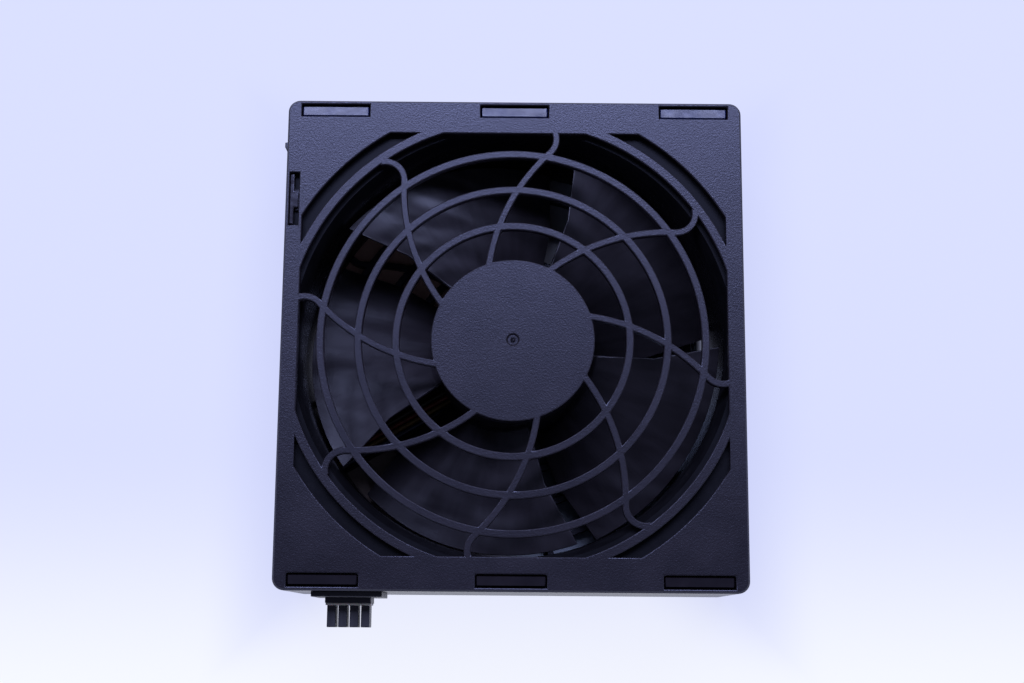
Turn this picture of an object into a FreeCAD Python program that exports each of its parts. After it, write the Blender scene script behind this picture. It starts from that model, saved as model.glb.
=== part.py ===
"""Server fan module: a 120 x 38 mm axial fan between two snap-together grille shells, with a four-way plug.

Frame: origin on the fan's axis at the outer face of the rear grille, +Z along the axis towards the
inlet grille, +Y away from the plug, +X to the right seen from the inlet side. Millimetres and degrees.
"""
import FreeCAD
import Part
import math
import os
import re
import Sketcher

Vector = FreeCAD.Vector
Z_AXIS = Vector(0, 0, 1)
document = FreeCAD.newDocument("ServerFanModule")

# Driving dimensions: name, value, what it measures.
DIMENSIONS = (
    ("case_width", 124.5, "case across, along X"),
    ("case_height", 133.4, "case from plug wall to top wall, along Y"),
    ("case_depth", 43.0, "case front to back, along Z"),
    ("case_corner", 3.2, "outer corner radius"),
    ("case_chamfer", 0.5, "bevel round each face plate"),
    ("plate", 2.5, "face plate thickness"),
    ("wall", 2.0, "side wall thickness"),
    ("seam", 12.0, "height of the joint between the shells"),
    ("lip", 1.4, "height of the locating lip at the seam"),
    ("lip_wall", 0.9, "thickness of the lip"),
    ("opening_flat", 57.6, "half width of the air opening at its flats"),
    ("opening_radius", 60.8, "radius of the air opening at its corners"),
    ("slot_inner", 63.3, "inner radius of a corner slot"),
    ("slot_outer", 66.9, "outer radius of a corner slot"),
    ("cap_radius", 22.0, "disc in the middle of a grille"),
    ("ring_first", 31.4, "middle radius of the smallest ring"),
    ("ring_pitch", 10.15, "step from ring to ring"),
    ("ring_width", 2.05, "width of a ring"),
    ("spoke_width", 1.8, "width of a spoke"),
    ("spoke_radius", 53.35, "radius of a spoke's long arc"),
    ("spoke_across", 13.25, "centre of the long arc, sideways"),
    ("spoke_down", 46.24, "centre of the long arc, downwards"),
    ("spoke_start", 83.0, "angle where the long arc leaves the cap"),
    ("spoke_turn", 43.0, "angle where the long arc meets the hook"),
    ("hook_radius", 5.25, "radius of the hook at a spoke's outer end"),
    ("hook_end", 331.0, "angle where the hook ends"),
    ("gate_radius", 1.6, "moulding gate recess in the inlet cap"),
    ("gate_pip", 0.45, "radius of the gate's stub"),
    ("gate_depth", 0.5, "depth of the gate recess"),
    ("window_long", 18.7, "snap window length"),
    ("window_short", 3.6, "snap window width"),
    ("window_pitch", 49.2, "step between snap windows"),
    ("window_line", 63.9, "distance of the windows from the axis"),
    ("window_deep", 4.2, "depth of the snap ledge below the face"),
    ("tongue_long", 18.1, "snap tongue width"),
    ("tongue_thick", 2.0, "snap tongue thickness"),
    ("tongue_tip", 42.3, "height of a snap tongue"),
    ("tongue_play", 0.25, "play behind a snap tongue"),
    ("tongue_ease", 0.4, "small bevel behind a tongue's tip"),
    ("barb_play", 0.3, "play in front of a tongue's barb"),
    ("barb_tall", 1.6, "straight height of a barb"),
    ("barb_slope", 0.35, "how far a barb's tip slopes back"),
    ("fit_gap", 0.2, "play between parts that snap together"),
    ("overrun", 0.5, "how far a cutter runs past the face that it cuts"),
    ("rib_line", 24.6, "distance of a fan rib from the middle"),
    ("rib_width", 2.0, "thickness of a fan rib"),
    ("slot_edge", 1.05, "wall left outside the side slot"),
    ("slot_groove", 1.3, "width of the side slot, and of its step"),
    ("slot_step", 4.3, "length of the step's two deep ends"),
    ("slot_floor", 0.8, "floor left under the middle of the step"),
    ("hook_low", 31.3, "lower end of the side slot"),
    ("hook_long", 14.8, "length of the side slot"),
    ("hook_play", 0.15, "play round the hook in the side slot"),
    ("hook_barb", 4.7, "length of the side hook's barb"),
    ("latch_low", 48.6, "lower edge of the side latch"),
    ("latch_wide", 10.0, "width of the side latch"),
    ("latch_thick", 1.4, "thickness of the side latch"),
    ("latch_root", 3.2, "height of the latch's root"),
    ("latch_tip", 35.5, "height of the latch's free end"),
    ("latch_gap", 0.5, "slit round the side latch"),
    ("hinge_gap", 0.3, "gap below the latch's root"),
    ("catch_proud", 2.0, "how far the catch stands out of the wall"),
    ("catch_start", 3.7, "where the catch's ramp starts above the latch's lower edge"),
    ("catch_ramp", 3.8, "length of the catch's ramp"),
    ("catch_flat", 1.3, "length of the catch's crest"),
    ("catch_fall", 0.3, "length of the catch's steep side"),
    ("catch_low", 5.0, "lower side of the catch below the latch's tip"),
    ("catch_tall", 3.6, "height of the catch"),
    ("fan_size", 120.0, "side of the square fan frame"),
    ("fan_depth", 38.0, "fan frame thickness"),
    ("fan_corner", 5.0, "corner radius of the fan frame"),
    ("flange", 4.5, "thickness of the fan's corner flanges"),
    ("barrel_radius", 59.3, "outside of the fan's barrel"),
    ("bore_radius", 57.5, "inside of the fan's barrel"),
    ("bell_radius", 59.6, "mouth of the inlet bell"),
    ("bell_deep", 6.0, "depth of the inlet bell"),
    ("bell_knee", 2.7, "depth where the bell turns steeper"),
    ("bell_knee_radius", 58.1, "radius of the bell at its knee"),
    ("screw_line", 52.5, "fan screw holes from the axis, along X and Y"),
    ("screw_radius", 2.2, "fan screw hole radius"),
    ("base_radius", 21.5, "motor base and impeller hub radius"),
    ("base_floor", 2.0, "motor base thickness"),
    ("base_rim", 5.7, "height of the motor base's rim"),
    ("rim_wall", 1.4, "thickness of the base rim and of the hub"),
    ("strut_width", 3.2, "width of a plain strut"),
    ("strut_tall", 4.6, "height of a strut"),
    ("strut_root", 1.0, "how far a strut runs into the base and the barrel"),
    ("duct_width", 8.0, "width of the strut that carries the leads"),
    ("duct_inner", 6.4, "clear width of its channel"),
    ("duct_angle", 210.0, "direction of the strut that carries the leads"),
    ("duct_floor", 2.7, "floor of the channel above the frame's back"),
    ("duct_mouth", 6.5, "length of the channel's wider mouth"),
    ("duct_flare", 0.4, "extra width of the mouth on its straight side"),
    ("duct_turn", 1.4, "extra width of the mouth where the leads turn"),
    ("trough_side", 1.5, "flange left beside the leads' trough"),
    ("trough_low", 10.0, "flange left below the trough"),
    ("trough_wide", 14.0, "trough along X"),
    ("trough_long", 28.0, "trough along Y"),
    ("tube_radius", 5.6, "bearing tube outside"),
    ("tube_top", 27.5, "height of the bearing tube's mouth"),
    ("bearing_radius", 4.0, "ball bearing outside radius"),
    ("bearing_tall", 4.0, "ball bearing width"),
    ("bearing_wall", 0.8, "thickness of a bearing's outer ring"),
    ("shield_radius", 2.4, "inside of a bearing's shields"),
    ("shield_thick", 0.3, "thickness of a bearing's shields"),
    ("inner_ring", 2.2, "outside of a bearing's inner ring"),
    ("bearing_low", 5.5, "height of the lower bearing"),
    ("bearing_high", 23.0, "height of the upper bearing"),
    ("shaft_radius", 1.5, "shaft radius"),
    ("shaft_low", 4.8, "height of the shaft's lower end"),
    ("boss_radius", 4.5, "radius of the boss that holds the shaft"),
    ("boss_gap", 0.5, "space between the bearing tube and the boss"),
    ("washer_radius", 2.9, "preload washer outside radius"),
    ("clip_deep", 0.4, "depth of the clip's groove"),
    ("clip_groove", 0.45, "width of the clip's groove"),
    ("clip_thick", 0.4, "thickness of the retaining clip"),
    ("clip_proud", 1.0, "how far the clip stands out of the shaft"),
    ("clip_mouth", 1.6, "width of the clip's mouth"),
    ("hub_low", 9.0, "height of the hub's rim"),
    ("hub_high", 36.0, "height of the hub's nose"),
    ("hub_nose", 1.6, "thickness of the hub's nose"),
    ("nose_bevel", 1.2, "bevel round the hub's nose"),
    ("yoke_wall", 1.2, "steel yoke thickness"),
    ("yoke_low", 10.0, "height of the yoke's rim"),
    ("magnet_wall", 2.5, "magnet ring thickness"),
    ("magnet_low", 12.0, "height of the magnet's lower end"),
    ("magnet_tall", 18.0, "magnet ring height"),
    ("blade_root", 20.9, "radius where a blade starts inside the hub's wall"),
    ("blade_tip", 56.5, "blade tip radius"),
    ("blade_front", 136.6, "leading edge direction at the hub, first blade"),
    ("blade_sweep", 7.7, "forward sweep of the leading edge at the tip"),
    ("blade_span", 65.0, "angle that a blade wraps"),
    ("blade_high", 34.6, "height of the leading edge at the hub"),
    ("blade_droop", 2.2, "how much lower the leading edge is at the tip"),
    ("blade_low", 8.8, "height of the trailing edge"),
    ("blade_thick", 1.7, "greatest blade thickness"),
    ("blade_edge", 0.7, "blade thickness at its edges"),
    ("blade_thinning", 0.3, "share of its thickness that a blade loses towards the tip"),
    ("core_radius", 15.8, "stator outside radius"),
    ("core_low", 14.0, "height of the stator's lower face"),
    ("core_tall", 12.0, "stator stack height"),
    ("core_ring", 8.0, "stator hub ring outside radius"),
    ("tooth_wide", 5.0, "width of a stator tooth"),
    ("tooth_middle", 11.2, "middle of a tooth from the axis"),
    ("shoe_wall", 2.0, "thickness of a tooth's pole shoe"),
    ("pole_gap", 2.4, "gap between two pole shoes"),
    ("bobbin_thick", 1.0, "thickness of the bobbin's halves"),
    ("coil_long", 4.8, "length of a coil along its tooth"),
    ("coil_middle", 10.5, "middle of a coil from the axis"),
    ("coil_thick", 2.0, "build of a coil beside its tooth"),
    ("coil_over", 1.7, "build of a coil over the bobbin"),
    ("coil_play", 0.02, "play between a coil and its tooth"),
    ("board_radius", 19.4, "circuit board radius"),
    ("board_low", 6.8, "height of the circuit board"),
    ("board_thick", 1.2, "circuit board thickness"),
    ("board_play", 0.2, "play between the board and the bearing tube"),
    ("chip_long", 5.0, "driver chip along its row"),
    ("chip_wide", 4.0, "driver chip across"),
    ("chip_tall", 1.4, "height of the driver chip and the Hall sensor"),
    ("chip_line", 12.2, "driver chip from the axis"),
    ("hall_long", 1.6, "Hall sensor along the radius"),
    ("hall_wide", 3.0, "Hall sensor across"),
    ("hall_line", 16.4, "Hall sensor from the axis"),
    ("can_radius", 2.2, "capacitor radius"),
    ("can_tall", 2.2, "capacitor height"),
    ("can_line", 12.0, "capacitor from the axis"),
    ("plug_across", -43.0, "middle of the plug along X"),
    ("plug_level", 31.0, "middle of the plug along Z"),
    ("plug_long", 12.2, "plug body along X"),
    ("plug_deep", 9.4, "plug body along Z"),
    ("plug_back", 61.8, "back of the plug body inside the case"),
    ("plug_front", 69.7, "front of the plug body"),
    ("plug_flange_long", 18.6, "plug flange along X"),
    ("plug_flange_deep", 18.8, "plug flange along Z"),
    ("plug_flange_thick", 1.5, "plug flange thickness"),
    ("plug_room", 1.0, "space kept free round the plug inside the case"),
    ("plug_snap_long", 4.0, "plug's snap ridge along X"),
    ("plug_snap_proud", 0.8, "how far the snap ridge stands out"),
    ("plug_snap_thick", 1.0, "thickness of the snap ridge"),
    ("silo_pitch", 3.0, "contact pitch"),
    ("silo_wide", 2.3, "width of one contact silo"),
    ("silo_deep", 6.0, "depth of one contact silo"),
    ("silo_end", 76.0, "mouth of the silos from the axis"),
    ("cavity_start", 4.2, "solid back of the plug behind the contacts"),
    ("cavity_wide", 1.7, "width of a contact's cavity"),
    ("cavity_deep", 4.4, "depth of a contact's cavity"),
    ("contact_wide", 1.5, "width of a contact"),
    ("contact_deep", 3.6, "depth of a contact"),
    ("contact_short", 0.8, "how far a contact stays behind the silo's mouth"),
    ("contact_slot", 0.9, "width of a contact's slot"),
    ("contact_open", 2.4, "depth of a contact's slot"),
    ("contact_reach", 5.0, "length of a contact's slot"),
    ("retainer_thick", 0.55, "terminal retainer thickness"),
    ("retainer_deep", 7.8, "terminal retainer along Z"),
    ("retainer_play", 0.1, "how far the retainer stays behind the plug's sides"),
    ("lead_radius", 0.65, "radius of a lead"),
    ("lead_play", 0.1, "play round a lead in the plug"),
    ("lead_pitch", 1.5, "spacing of the leads in their channel"),
    ("lead_level", 5.9, "height of the leads in their channel"),
)

sheet = document.addObject("Spreadsheet::Sheet", "Sizes")
size = {}
for row, (alias, number, meaning) in enumerate(DIMENSIONS, 1):
    sheet.set(f"A{row}", alias)
    sheet.set(f"B{row}", str(number))
    sheet.set(f"C{row}", meaning)
    sheet.setAlias(f"B{row}", alias)
    size[alias] = number
document.recompute()

BLADES = 5
SPOKES = 8
TEETH = 4
WAYS = 4
LEAD_SIDES = 6
LEADS = ("black", "red", "yellow", "blue")
nodes = []


# --- helpers for bodies, sketches and features --------------------------------------------------------

def cells(expression):
    """The expression with each name read from the sheet."""
    return re.sub("[a-z_]+", lambda word: f"Sizes.{word.group()}", expression)


def new_body(label):
    body = document.addObject("PartDesign::Body", label)
    body.Label = label
    nodes.append(body)
    return body


def origin(body, role):
    return next(item for item in body.Origin.OriginFeatures if item.Role == role)


def new_sketch(body, role="XY_Plane", offset=None):
    sketch = body.newObject("Sketcher::SketchObject", "Profile")
    sketch.AttachmentSupport = [(origin(body, role), "")]
    sketch.MapMode = "FlatFace"
    if offset:
        sketch.setExpression("AttachmentOffset.Base.z", cells(offset))
    return sketch


def drive(sketch, constraint, expression):
    index = sketch.addConstraint(constraint)
    sketch.setExpression(f"Constraints[{index}]", cells(expression))


def rectangle(sketch, left, low, wide, tall):
    """A rectangle placed by its lower left corner; all four sizes are expressions on the sheet."""
    corners = [Vector(1, 1, 0), Vector(9, 1, 0), Vector(9, 9, 0), Vector(1, 9, 0)]
    sides = [
        sketch.addGeometry(Part.LineSegment(corners[k], corners[(k + 1) % 4]), False)
        for k in range(4)
    ]
    for k in range(4):
        sketch.addConstraint(Sketcher.Constraint("Coincident", sides[k], 2, sides[(k + 1) % 4], 1))
        sketch.addConstraint(Sketcher.Constraint("Vertical" if k % 2 else "Horizontal", sides[k]))
    drive(sketch, Sketcher.Constraint("DistanceX", sides[0], 1, sides[0], 2, 8.0), wide)
    drive(sketch, Sketcher.Constraint("DistanceY", sides[1], 1, sides[1], 2, 8.0), tall)
    drive(sketch, Sketcher.Constraint("DistanceX", -1, 1, sides[0], 1, 1.0), left)
    drive(sketch, Sketcher.Constraint("DistanceY", -1, 1, sides[0], 1, 1.0), low)


def circle(sketch, radius, across=None, up=None):
    """A circle about the origin, or about (across, up); sizes are expressions on the sheet."""
    index = sketch.addGeometry(Part.Circle(Vector(2, 2, 0), Z_AXIS, 5), False)
    drive(sketch, Sketcher.Constraint("Radius", index, 5.0), radius)
    if across:
        drive(sketch, Sketcher.Constraint("DistanceX", -1, 1, index, 3, 2.0), across)
        drive(sketch, Sketcher.Constraint("DistanceY", -1, 1, index, 3, 2.0), up)
    else:
        sketch.addConstraint(Sketcher.Constraint("Coincident", -1, 1, index, 3))


def outline(sketch, edges):
    """A closed outline: two points are a line, three are an arc through the middle one."""
    for points in edges:
        ends = [Vector(*point, 0) for point in points]
        sketch.addGeometry(Part.LineSegment(*ends) if len(ends) == 2 else Part.Arc(*ends), False)


def polygon(sketch, points):
    outline(sketch, [(points[k], points[(k + 1) % len(points)]) for k in range(len(points))])


def grow(body, kind, sketch, length, backwards=False):
    feature = body.newObject(f"PartDesign::{kind}", kind)
    feature.Profile = sketch
    feature.setExpression("Length", cells(length))
    feature.Reversed = backwards
    sketch.Visibility = False
    return feature


def pad(body, sketch, length, backwards=False):
    return grow(body, "Pad", sketch, length, backwards)


def pocket(body, sketch, length, backwards=True):
    """Cuts along the sketch's normal unless backwards is False."""
    return grow(body, "Pocket", sketch, length, backwards)


def around(body, feature, count):
    pattern = body.newObject("PartDesign::PolarPattern", "PolarPattern")
    pattern.Originals = [feature]
    pattern.Axis = (origin(body, "Z_Axis"), [""])
    pattern.Angle = 360
    pattern.Occurrences = count
    body.Tip = pattern
    return pattern


def soften(body, kind, amount, chosen):
    """A fillet or chamfer on the edges of the body's tip for which chosen(edge) is true."""
    document.recompute()
    base = body.Tip
    names = [f"Edge{k}" for k, edge in enumerate(base.Shape.Edges, 1) if chosen(edge)]
    feature = body.newObject(f"PartDesign::{kind}", kind)
    feature.Base = (base, names)
    feature.setExpression("Radius" if kind == "Fillet" else "Size", cells(amount))
    return feature


def upright(edge):
    box = edge.BoundBox
    return box.XLength < 1e-6 and box.YLength < 1e-6


def at_corner(across, up):
    """Chooses the upright edges at (+-across, +-up)."""
    def chosen(edge):
        middle = edge.CenterOfMass
        return upright(edge) and abs(abs(middle.x) - across) < 0.01 and abs(abs(middle.y) - up) < 0.01
    return chosen


def polar(radius, degrees, centre=(0.0, 0.0)):
    turn = math.radians(degrees)
    return (centre[0] + radius * math.cos(turn), centre[1] + radius * math.sin(turn))


# --- the two grille shells ----------------------------------------------------------------------------
# Both are drawn the same way: outer face at Z = 0, walls rising along +Z, seen from outside with +Y up
# and X to the left. The front shell is then turned over, so that its face looks along +Z.

def opening_edges(flat, radius):
    """The air opening: four flats joined by arcs about the axis."""
    end = math.sqrt(radius**2 - flat**2)
    diagonal = radius / math.sqrt(2)
    edges = []
    for across, up in ((1, 1), (-1, 1), (-1, -1), (1, -1)):
        arc = ((across * flat, up * end), (across * diagonal, up * diagonal), (across * end, up * flat))
        edges.append(arc)
    for side in (1, -1):
        edges.append(((side * flat, -end), (side * flat, end)))
        edges.append(((-end, side * flat), (end, side * flat)))
    return edges


def corner_slot_edges(flat, inner, outer):
    """The curved slot outside the outer ring, between the lines of two neighbouring flats."""
    near = math.sqrt(inner**2 - flat**2)
    far = math.sqrt(outer**2 - flat**2)
    return [
        ((flat, near), (flat, far)),
        ((flat, far), polar(outer, 45), (far, flat)),
        ((far, flat), (near, flat)),
        ((near, flat), polar(inner, 45), (flat, near)),
    ]


def spoke_edges():
    """One swirl spoke: a long arc from the cap, then a small arc that hooks back to the rim."""
    half = size["spoke_width"] / 2
    centre = (size["spoke_across"], -size["spoke_down"])
    start, turn, end = size["spoke_start"], size["spoke_turn"], size["hook_end"]
    hook = polar(size["spoke_radius"] + size["hook_radius"], turn, centre)
    sides = []
    for sign in (1, -1):
        reach = size["spoke_radius"] + sign * half
        bend = size["hook_radius"] - sign * half
        long_arc = [polar(reach, angle, centre) for angle in (start, (start + turn) / 2, turn)]
        short_arc = [polar(bend, angle, hook) for angle in (turn + 180, (turn + 180 + end) / 2, end)]
        sides.append((long_arc, short_arc))
    edges = [sides[0][0], sides[0][1], sides[1][0], sides[1][1]]
    edges.append([sides[0][0][0], sides[1][0][0]])
    edges.append([sides[0][1][2], sides[1][1][2]])
    return [[(-x, y) for x, y in edge] for edge in edges]


def grille_shell(label, height):
    """A tray with rounded corners whose face carries the swirl grille; height is its wall's height."""
    body = new_body(label)
    sketch = new_sketch(body)
    rectangle(sketch, "-case_width / 2", "-case_height / 2", "case_width", "case_height")
    pad(body, sketch, height)
    soften(body, "Fillet", "case_corner", at_corner(size["case_width"] / 2, size["case_height"] / 2))
    soften(body, "Chamfer", "case_chamfer", lambda edge: edge.BoundBox.ZMax < 1e-6)
    sketch = new_sketch(body, offset="plate")
    rectangle(sketch, "wall - case_width / 2", "wall - case_height / 2",
              "case_width - 2 * wall", "case_height - 2 * wall")
    pocket(body, sketch, height)
    inner = (size["case_width"] / 2 - size["wall"], size["case_height"] / 2 - size["wall"])
    soften(body, "Fillet", "case_corner - wall", at_corner(*inner))

    sketch = new_sketch(body)
    outline(sketch, opening_edges(size["opening_flat"], size["opening_radius"]))
    pocket(body, sketch, "plate")
    sketch = new_sketch(body)
    outline(sketch, corner_slot_edges(size["opening_flat"], size["slot_inner"], size["slot_outer"]))
    around(body, pocket(body, sketch, "plate"), 4)
    sketch = new_sketch(body)
    outline(sketch, spoke_edges())
    around(body, pad(body, sketch, "plate"), SPOKES)
    sketch = new_sketch(body)
    circle(sketch, "cap_radius")
    for ring in range(3):
        circle(sketch, f"ring_first + {ring} * ring_pitch - ring_width / 2")
        circle(sketch, f"ring_first + {ring} * ring_pitch + ring_width / 2")
    pad(body, sketch, "plate")

    sketch = new_sketch(body, offset="plate / 2")
    for across in ("rib_line", "-rib_line"):
        rectangle(sketch, f"{across} - rib_width / 2", "fan_size / 2",
                  "rib_width", "(case_height - fan_size - wall) / 2")
        rectangle(sketch, f"{across} - rib_width / 2", "(wall - case_height) / 2",
                  "rib_width", "(case_height - fan_size - wall) / 2")
    pad(body, sketch, f"{height} - plate / 2")
    return body


def front_shell():
    """The inlet half: face with the snap windows, tall walls, and the plug's cut-out in its lower wall."""
    body = grille_shell("front_shell", "case_depth - seam")
    sketch = new_sketch(body)
    circle(sketch, "gate_radius")
    circle(sketch, "gate_pip")
    pocket(body, sketch, "gate_depth")

    sketch = new_sketch(body)
    for column in (-1, 0, 1):
        left = f"{column} * window_pitch - window_long / 2"
        rectangle(sketch, left, "window_line - window_short / 2", "window_long", "window_short")
        rectangle(sketch, left, "-window_line - window_short / 2", "window_long", "window_short")
    pocket(body, sketch, "window_deep")

    # The side slot: a groove for the rear shell's hook, with a sunk step in the middle for its barb.
    sketch = new_sketch(body)
    groove = "case_width / 2 - slot_edge - slot_groove"
    rectangle(sketch, groove, "hook_low", "slot_groove", "hook_long")
    pocket(body, sketch, "case_depth - seam")
    sketch = new_sketch(body)
    for low in ("hook_low", "hook_low + hook_long - slot_step"):
        rectangle(sketch, f"{groove} - slot_groove", low, "slot_groove", "slot_step")
    pocket(body, sketch, "plate")
    sketch = new_sketch(body)
    rectangle(sketch, f"{groove} - slot_groove", "hook_low + slot_step",
              "slot_groove", "hook_long - 2 * slot_step")
    pocket(body, sketch, "plate - slot_floor")

    sketch = new_sketch(body, "YZ_Plane", "case_width / 2 - wall - overrun")
    rectangle(sketch, "latch_low - latch_gap", "case_depth - latch_tip - latch_gap",
              "latch_wide + 2 * latch_gap", "latch_tip + latch_gap")
    pocket(body, sketch, "wall + 2 * overrun")

    sketch = new_sketch(body, "XZ_Plane", "case_height / 2 - wall - overrun")
    rectangle(sketch, "-plug_across - plug_long / 2 - fit_gap",
              "case_depth - plug_level - plug_deep / 2 - fit_gap",
              "plug_long + 2 * fit_gap", "plug_deep + 2 * fit_gap")
    pocket(body, sketch, "wall + 2 * overrun")

    # Rebate for the rear shell's lip.
    sketch = new_sketch(body, offset="case_depth - seam - lip - fit_gap / 2")
    rectangle(sketch, "wall - case_width / 2 - lip_wall - fit_gap / 2",
              "wall - case_height / 2 - lip_wall - fit_gap / 2",
              "case_width - 2 * wall + 2 * lip_wall + fit_gap",
              "case_height - 2 * wall + 2 * lip_wall + fit_gap")
    pocket(body, sketch, "lip + fit_gap")
    body.Placement = FreeCAD.Placement(Vector(0, 0, size["case_depth"]),
                                       FreeCAD.Rotation(Vector(0, 1, 0), 180))
    return body


def rear_shell():
    """The outlet half: low walls, six snap tongues, the side hook and the locating lip."""
    body = grille_shell("rear_shell", "seam")
    sketch = new_sketch(body, offset="seam - overrun")
    rectangle(sketch, "wall - case_width / 2 - lip_wall", "wall - case_height / 2 - lip_wall",
              "case_width - 2 * wall + 2 * lip_wall", "case_height - 2 * wall + 2 * lip_wall")
    rectangle(sketch, "wall - case_width / 2", "wall - case_height / 2",
              "case_width - 2 * wall", "case_height - 2 * wall")
    pad(body, sketch, "lip + overrun")

    root = size["plate"] / 2
    back = size["window_line"] - size["window_short"] / 2 + size["tongue_play"]
    front = back + size["tongue_thick"]
    barb = size["window_line"] + size["window_short"] / 2 - size["barb_play"]
    ledge = size["case_depth"] - size["window_deep"] + size["fit_gap"]
    tip = size["tongue_tip"]
    ease = size["tongue_ease"]
    profile = [(back, root), (front, root), (front, ledge), (barb, ledge), (barb, ledge + size["barb_tall"]),
               (barb - size["barb_slope"], tip), (back + ease, tip), (back, tip - ease)]
    for column in (-1, 0, 1):
        sketch = new_sketch(body, "YZ_Plane", f"{column} * window_pitch - tongue_long / 2")
        polygon(sketch, profile)
        polygon(sketch, [(-along, height) for along, height in profile])
        pad(body, sketch, "tongue_long")
    # The tongue beside the plug is narrowed, so that the plug's body passes it.
    sketch = new_sketch(body, "XZ_Plane", "window_line - window_short / 2")
    rectangle(sketch, "plug_across - plug_long / 2 - plug_room", "plug_level - plug_deep / 2 - plug_room",
              "plug_long", "plug_deep + 2 * plug_room")
    pocket(body, sketch, "window_short")

    sketch = new_sketch(body, offset="plate / 2")
    rectangle(sketch, "slot_edge + hook_play - case_width / 2", "hook_low + 2 * hook_play",
              "slot_groove - 2 * hook_play", "hook_long - 4 * hook_play")
    pad(body, sketch, "tongue_tip - plate / 2")
    sketch = new_sketch(body, offset="case_depth - plate + slot_floor + hook_play")
    rectangle(sketch, "slot_edge + slot_groove - hook_play - case_width / 2",
              "hook_low + (hook_long - hook_barb) / 2", "slot_groove - hook_play", "hook_barb")
    pad(body, sketch, "tongue_tip - case_depth + plate - slot_floor - hook_play")

    sketch = new_sketch(body, "YZ_Plane", "-case_width / 2 - overrun")
    rectangle(sketch, "latch_low - latch_gap", "latch_root - hinge_gap",
              "latch_wide + 2 * latch_gap", "seam + lip")
    pocket(body, sketch, "wall + 2 * overrun")
    return body


def side_latch():
    """The sprung finger in the left wall: a thin leaf rooted at the back, with a ramped catch."""
    body = new_body("side_latch")
    sketch = new_sketch(body, "YZ_Plane", "-case_width / 2")
    rectangle(sketch, "latch_low", "latch_root", "latch_wide", "latch_tip - latch_root")
    pad(body, sketch, "latch_thick")
    wall = -size["case_width"] / 2
    proud = wall - size["catch_proud"]
    inside = wall + size["latch_thick"] / 2
    start = size["latch_low"] + size["catch_start"]
    crest = start + size["catch_ramp"]
    brink = crest + size["catch_flat"]
    foot = brink + size["catch_fall"]
    sketch = new_sketch(body, offset="latch_tip - catch_low")
    polygon(sketch, [(inside, start), (wall, start), (proud, crest), (proud, brink), (wall, foot),
                     (inside, foot)])
    pad(body, sketch, "catch_tall")
    return body


# --- the fan's stationary parts -----------------------------------------------------------------------

def fan_frame():
    """Square frame with corner flanges, a round barrel, four struts, and the motor base with its tube."""
    body = new_body("fan_frame")
    for level in ("plate", "plate + fan_depth - flange"):
        sketch = new_sketch(body, offset=level)
        rectangle(sketch, "-fan_size / 2", "-fan_size / 2", "fan_size", "fan_size")
        pad(body, sketch, "flange")
        if level == "plate":
            # Trough in the back flange where the leads leave the barrel and turn towards the plug.
            sketch = new_sketch(body, offset="plate + duct_floor")
            rectangle(sketch, "trough_side - fan_size / 2", "trough_low - fan_size / 2",
                      "trough_wide", "trough_long")
            pocket(body, sketch, "flange")
            sketch = new_sketch(body, offset="plate")
            circle(sketch, "barrel_radius")
            pad(body, sketch, "fan_depth")
    soften(body, "Fillet", "fan_corner", at_corner(size["fan_size"] / 2, size["fan_size"] / 2))
    sketch = new_sketch(body, offset="plate")
    circle(sketch, "bore_radius")
    pocket(body, sketch, "fan_depth")
    sketch = new_sketch(body, offset="plate")
    for across in ("screw_line", "-screw_line"):
        for up in ("screw_line", "-screw_line"):
            circle(sketch, "screw_radius", across, up)
    pocket(body, sketch, "fan_depth")

    top = size["plate"] + size["fan_depth"]
    start = (size["bore_radius"], top - size["bell_deep"])
    inside = size["bore_radius"] - size["overrun"]
    sketch = new_sketch(body, "XZ_Plane")
    polygon(sketch, [start, (size["bell_knee_radius"], top - size["bell_knee"]), (size["bell_radius"], top),
                     (inside, top), (inside, start[1])])
    bell = body.newObject("PartDesign::Groove", "Bell")
    bell.Profile = sketch
    bell.ReferenceAxis = (sketch, ["V_Axis"])
    bell.Angle = 360

    for quarter in range(4):
        sketch = new_sketch(body, offset="plate")
        sketch.AttachmentOffset = FreeCAD.Placement(
            Vector(0, 0, size["plate"]), FreeCAD.Rotation(Z_AXIS, size["duct_angle"] + 90 * quarter))
        sketch.setExpression("AttachmentOffset.Base.z", cells("plate"))
        width = "strut_width" if quarter else "duct_width"
        rectangle(sketch, "base_radius - strut_root", f"-{width} / 2",
                  "bore_radius - base_radius + 2 * strut_root", width)
        pad(body, sketch, "strut_tall")
    for radius, height in (("base_radius", "base_floor"), ("tube_radius", "tube_top - plate")):
        sketch = new_sketch(body, offset="plate")
        circle(sketch, radius)
        pad(body, sketch, height)
    sketch = new_sketch(body, offset="plate")
    circle(sketch, "base_radius")
    circle(sketch, "base_radius - rim_wall")
    pad(body, sketch, "base_rim")

    # Channel along the wide strut, through the rim of the base and the barrel's wall.
    sketch = new_sketch(body, offset="plate + duct_floor")
    sketch.AttachmentOffset = FreeCAD.Placement(
        Vector(0, 0, size["plate"]), FreeCAD.Rotation(Z_AXIS, size["duct_angle"]))
    sketch.setExpression("AttachmentOffset.Base.z", cells("plate + duct_floor"))
    rectangle(sketch, "base_radius - 2 * rim_wall", "-duct_inner / 2",
              "bore_radius - base_radius + 2 * rim_wall", "duct_inner")
    rectangle(sketch, "bore_radius - overrun", "-duct_inner / 2 - duct_flare",
              "duct_mouth", "duct_inner + duct_flare + duct_turn")
    pocket(body, sketch, "flange")

    # Bearing seats: two counterbores and a narrower waist that keeps the bearings apart.
    for level, radius, height in (
        ("plate + base_floor", "bearing_radius", "bearing_low + bearing_tall - plate - base_floor"),
        ("bearing_low", "bearing_radius - bearing_wall", "bearing_high - bearing_low"),
        ("bearing_high", "bearing_radius", "tube_top - bearing_high"),
    ):
        sketch = new_sketch(body, offset=level)
        circle(sketch, radius)
        pocket(body, sketch, height)
    return body


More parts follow.
